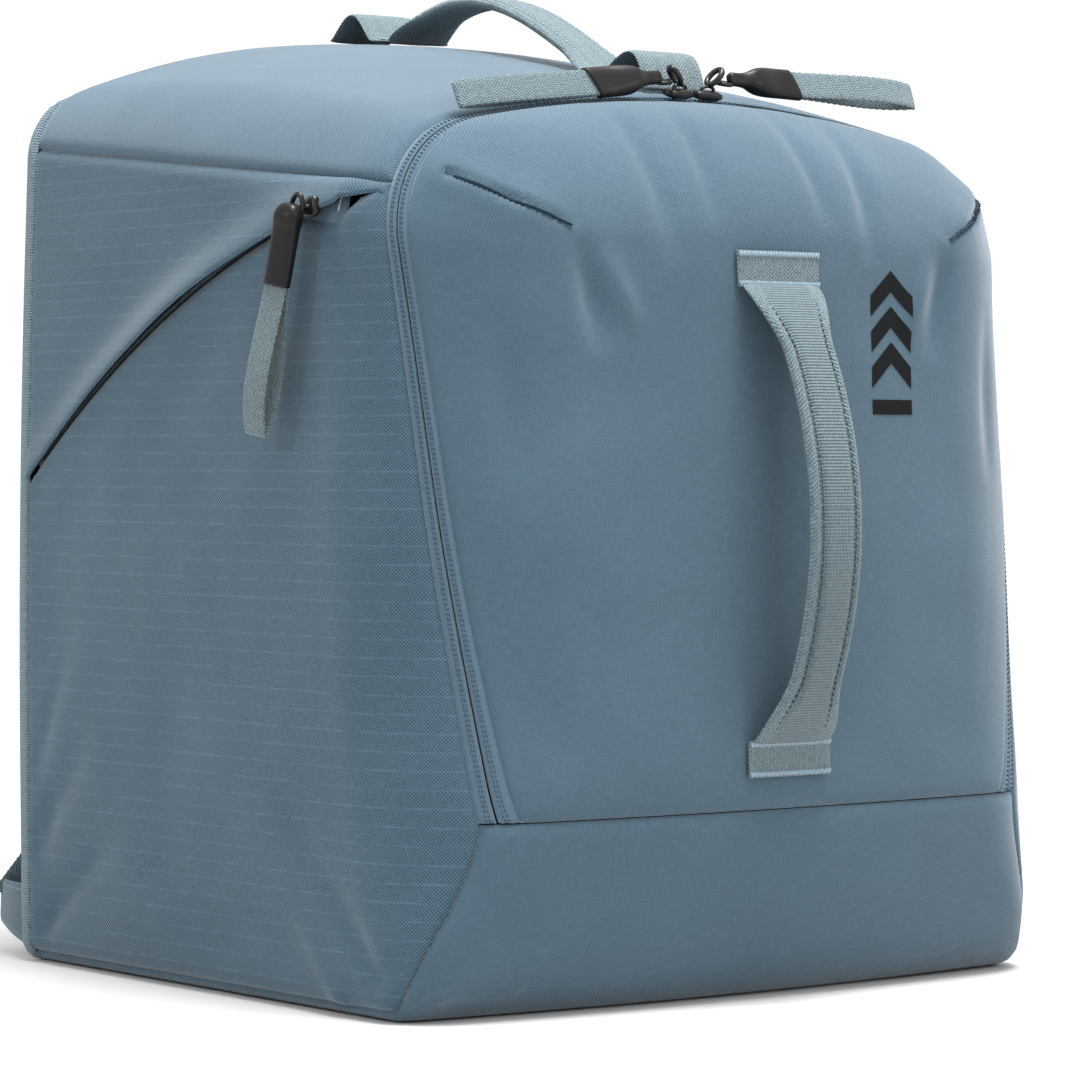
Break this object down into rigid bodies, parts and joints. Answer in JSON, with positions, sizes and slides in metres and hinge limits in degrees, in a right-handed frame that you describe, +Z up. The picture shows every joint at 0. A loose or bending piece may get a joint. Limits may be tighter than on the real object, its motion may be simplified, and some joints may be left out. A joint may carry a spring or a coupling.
{
  "type": "ski boot bag",
  "caption": "Box-shaped ski boot backpack with a U-zipped front flap that folds down, side zip pockets, grab and haul handles and a shoulder harness.",
  "frame": {"origin": "on the floor under the flat base, midway between the side faces and at the depth where the crown of the top is level with mid depth", "axes": "+Z up, -Y towards the front flap, +X to the right of someone facing the front flap"},
  "size_m": [0.4162, 0.465, 0.4867],
  "materials": {
    "body_fabric": "slate blue woven polyester, matt",
    "side_fabric": "slate blue slub-weave ripstop, matt",
    "webbing": "pale blue-grey ribbed webbing, matt",
    "zip_tape": "slate blue knitted zip tape over a nylon coil",
    "moulded_black": "charcoal black, satin",
    "slider_metal": "black painted zinc, satin",
    "buckle_plastic": "black acetal, satin",
    "air_mesh": "dark grey-blue spacer mesh over foam",
    "lining": "grey plain-weave lining",
    "stiffener": "dark grey polyethylene sheet"
  },
  "bodies": {
    "root": {"left_side_panel": "side_fabric", "right_side_panel": "side_fabric", "base_wrap": "body_fabric", "top_panel": "body_fabric", "zip_tape_body": "zip_tape", "edge_binding": "webbing", "back_panel": "body_fabric", "left_pocket_tape": "zip_tape", "right_pocket_tape": "zip_tape", "left_pocket_pouch": "lining", "right_pocket_pouch": "lining", "base_board": "stiffener", "back_frame_sheet": "stiffener", "haul_back_loop": "webbing", "haul_back_tack": "webbing", "haul_front_loop": "webbing", "haul_front_tack": "webbing", "left_back_pad": "air_mesh", "right_back_pad": "air_mesh", "harness_yoke": "body_fabric", "left_strap_wing": "body_fabric", "right_strap_wing": "body_fabric", "left_lower_web": "webbing", "right_lower_web": "webbing"},
    "flap": {"front_flap": "body_fabric", "zip_tape_flap": "zip_tape", "front_handle_top_patch": "webbing", "front_handle_bottom_patch": "webbing"},
    "front_handle": {"front_handle_grip": "webbing"},
    "haul_handle": {"haul_grip": "webbing"},
    "left_main_slider": {"left_slider": "slider_metal"},
    "left_main_pull": {"left_link": "slider_metal", "left_pull": "moulded_black", "left_pull_loop": "webbing"},
    "left_side_slider": {"left_pocket_slider": "slider_metal"},
    "left_side_pull": {"left_pocket_link": "slider_metal", "left_pocket_pull": "moulded_black", "left_pocket_pull_loop": "webbing"},
    "left_strap": {"left_shoulder_strap": "air_mesh", "left_ladder_lock": "buckle_plastic"},
    "left_sternum": {"left_sternum_web": "webbing", "sternum_buckle_socket": "buckle_plastic"},
    "right_main_slider": {"right_slider": "slider_metal"},
    "right_main_pull": {"right_link": "slider_metal", "right_pull": "moulded_black", "right_pull_loop": "webbing"},
    "right_side_slider": {"right_pocket_slider": "slider_metal"},
    "right_side_pull": {"right_pocket_link": "slider_metal", "right_pocket_pull": "moulded_black", "right_pocket_pull_loop": "webbing"},
    "right_strap": {"right_shoulder_strap": "air_mesh", "right_ladder_lock": "buckle_plastic"},
    "right_sternum": {"right_sternum_web": "webbing", "sternum_buckle_prongs": "buckle_plastic"}
  },
  "joints": [
    {"name": "flap_fold", "type": "hinge", "parent": "root", "child": "flap", "pos_m": [0, -0.2052, 0.0902], "axis": [1, 0, 0], "range_deg": [0, 100]},
    {"name": "front_handle_swing", "type": "hinge", "parent": "flap", "child": "front_handle", "pos_m": [0, -0.21492, 0.22838], "axis": [0, 0.0393, 0.9992], "range_deg": [-40, 40]},
    {"name": "haul_handle_swing", "type": "hinge", "parent": "root", "child": "haul_handle", "pos_m": [0, 0.00709, 0.46579], "axis": [0, 0.9871, 0.1602], "range_deg": [-35, 35]},
    {"name": "left_main_zip_run", "type": "hinge", "parent": "flap", "child": "left_main_slider", "pos_m": [0.0003, -0.23418, -0.21373], "axis": [0, -0.9882, 0.1531], "range_deg": [0, 7]},
    {"name": "left_main_pull_lift", "type": "hinge", "parent": "left_main_slider", "child": "left_main_pull", "pos_m": [-0.00861, -0.13639, 0.43352], "axis": [-0.0059, 0.9635, 0.2678], "range_deg": [0, 85]},
    {"name": "left_pocket_zip_run", "type": "hinge", "parent": "root", "child": "left_side_slider", "pos_m": [-0.19375, -0.25032, -0.2542], "axis": [-0.9999, -0.0142, 0.0007], "range_deg": [0, 22]},
    {"name": "left_pocket_pull_lift", "type": "hinge", "parent": "left_side_slider", "child": "left_side_pull", "pos_m": [-0.2017, -0.09762, 0.37294], "axis": [0, 0.9744, 0.225], "range_deg": [0, 100]},
    {"name": "left_strap_lift", "type": "hinge", "parent": "root", "child": "left_strap", "pos_m": [-0.062, 0.176, 0.391], "axis": [1, 0, 0], "range_deg": [0, 15]},
    {"name": "left_sternum_swing", "type": "hinge", "parent": "left_strap", "child": "left_sternum", "pos_m": [-0.08, 0.2158, 0.296], "axis": [0, -1, 0], "range_deg": [0, 85]},
    {"name": "right_main_zip_run", "type": "hinge", "parent": "flap", "child": "right_main_slider", "pos_m": [-0.0003, -0.23418, -0.21373], "axis": [0, 0.9882, -0.1531], "range_deg": [0, 7]},
    {"name": "right_main_pull_lift", "type": "hinge", "parent": "right_main_slider", "child": "right_main_pull", "pos_m": [0.00861, -0.13639, 0.43352], "axis": [-0.0059, -0.9635, -0.2678], "range_deg": [0, 85]},
    {"name": "right_pocket_zip_run", "type": "hinge", "parent": "root", "child": "right_side_slider", "pos_m": [0.19375, -0.25032, -0.2542], "axis": [-0.9999, 0.0142, -0.0007], "range_deg": [0, 22]},
    {"name": "right_pocket_pull_lift", "type": "hinge", "parent": "right_side_slider", "child": "right_side_pull", "pos_m": [0.2017, -0.09762, 0.37294], "axis": [0, -0.9744, -0.225], "range_deg": [0, 100]},
    {"name": "right_strap_lift", "type": "hinge", "parent": "root", "child": "right_strap", "pos_m": [0.062, 0.176, 0.391], "axis": [1, 0, 0], "range_deg": [0, 15]},
    {"name": "right_sternum_swing", "type": "hinge", "parent": "right_strap", "child": "right_sternum", "pos_m": [0.08, 0.2158, 0.296], "axis": [0, 1, 0], "range_deg": [0, 85]}
  ]
}
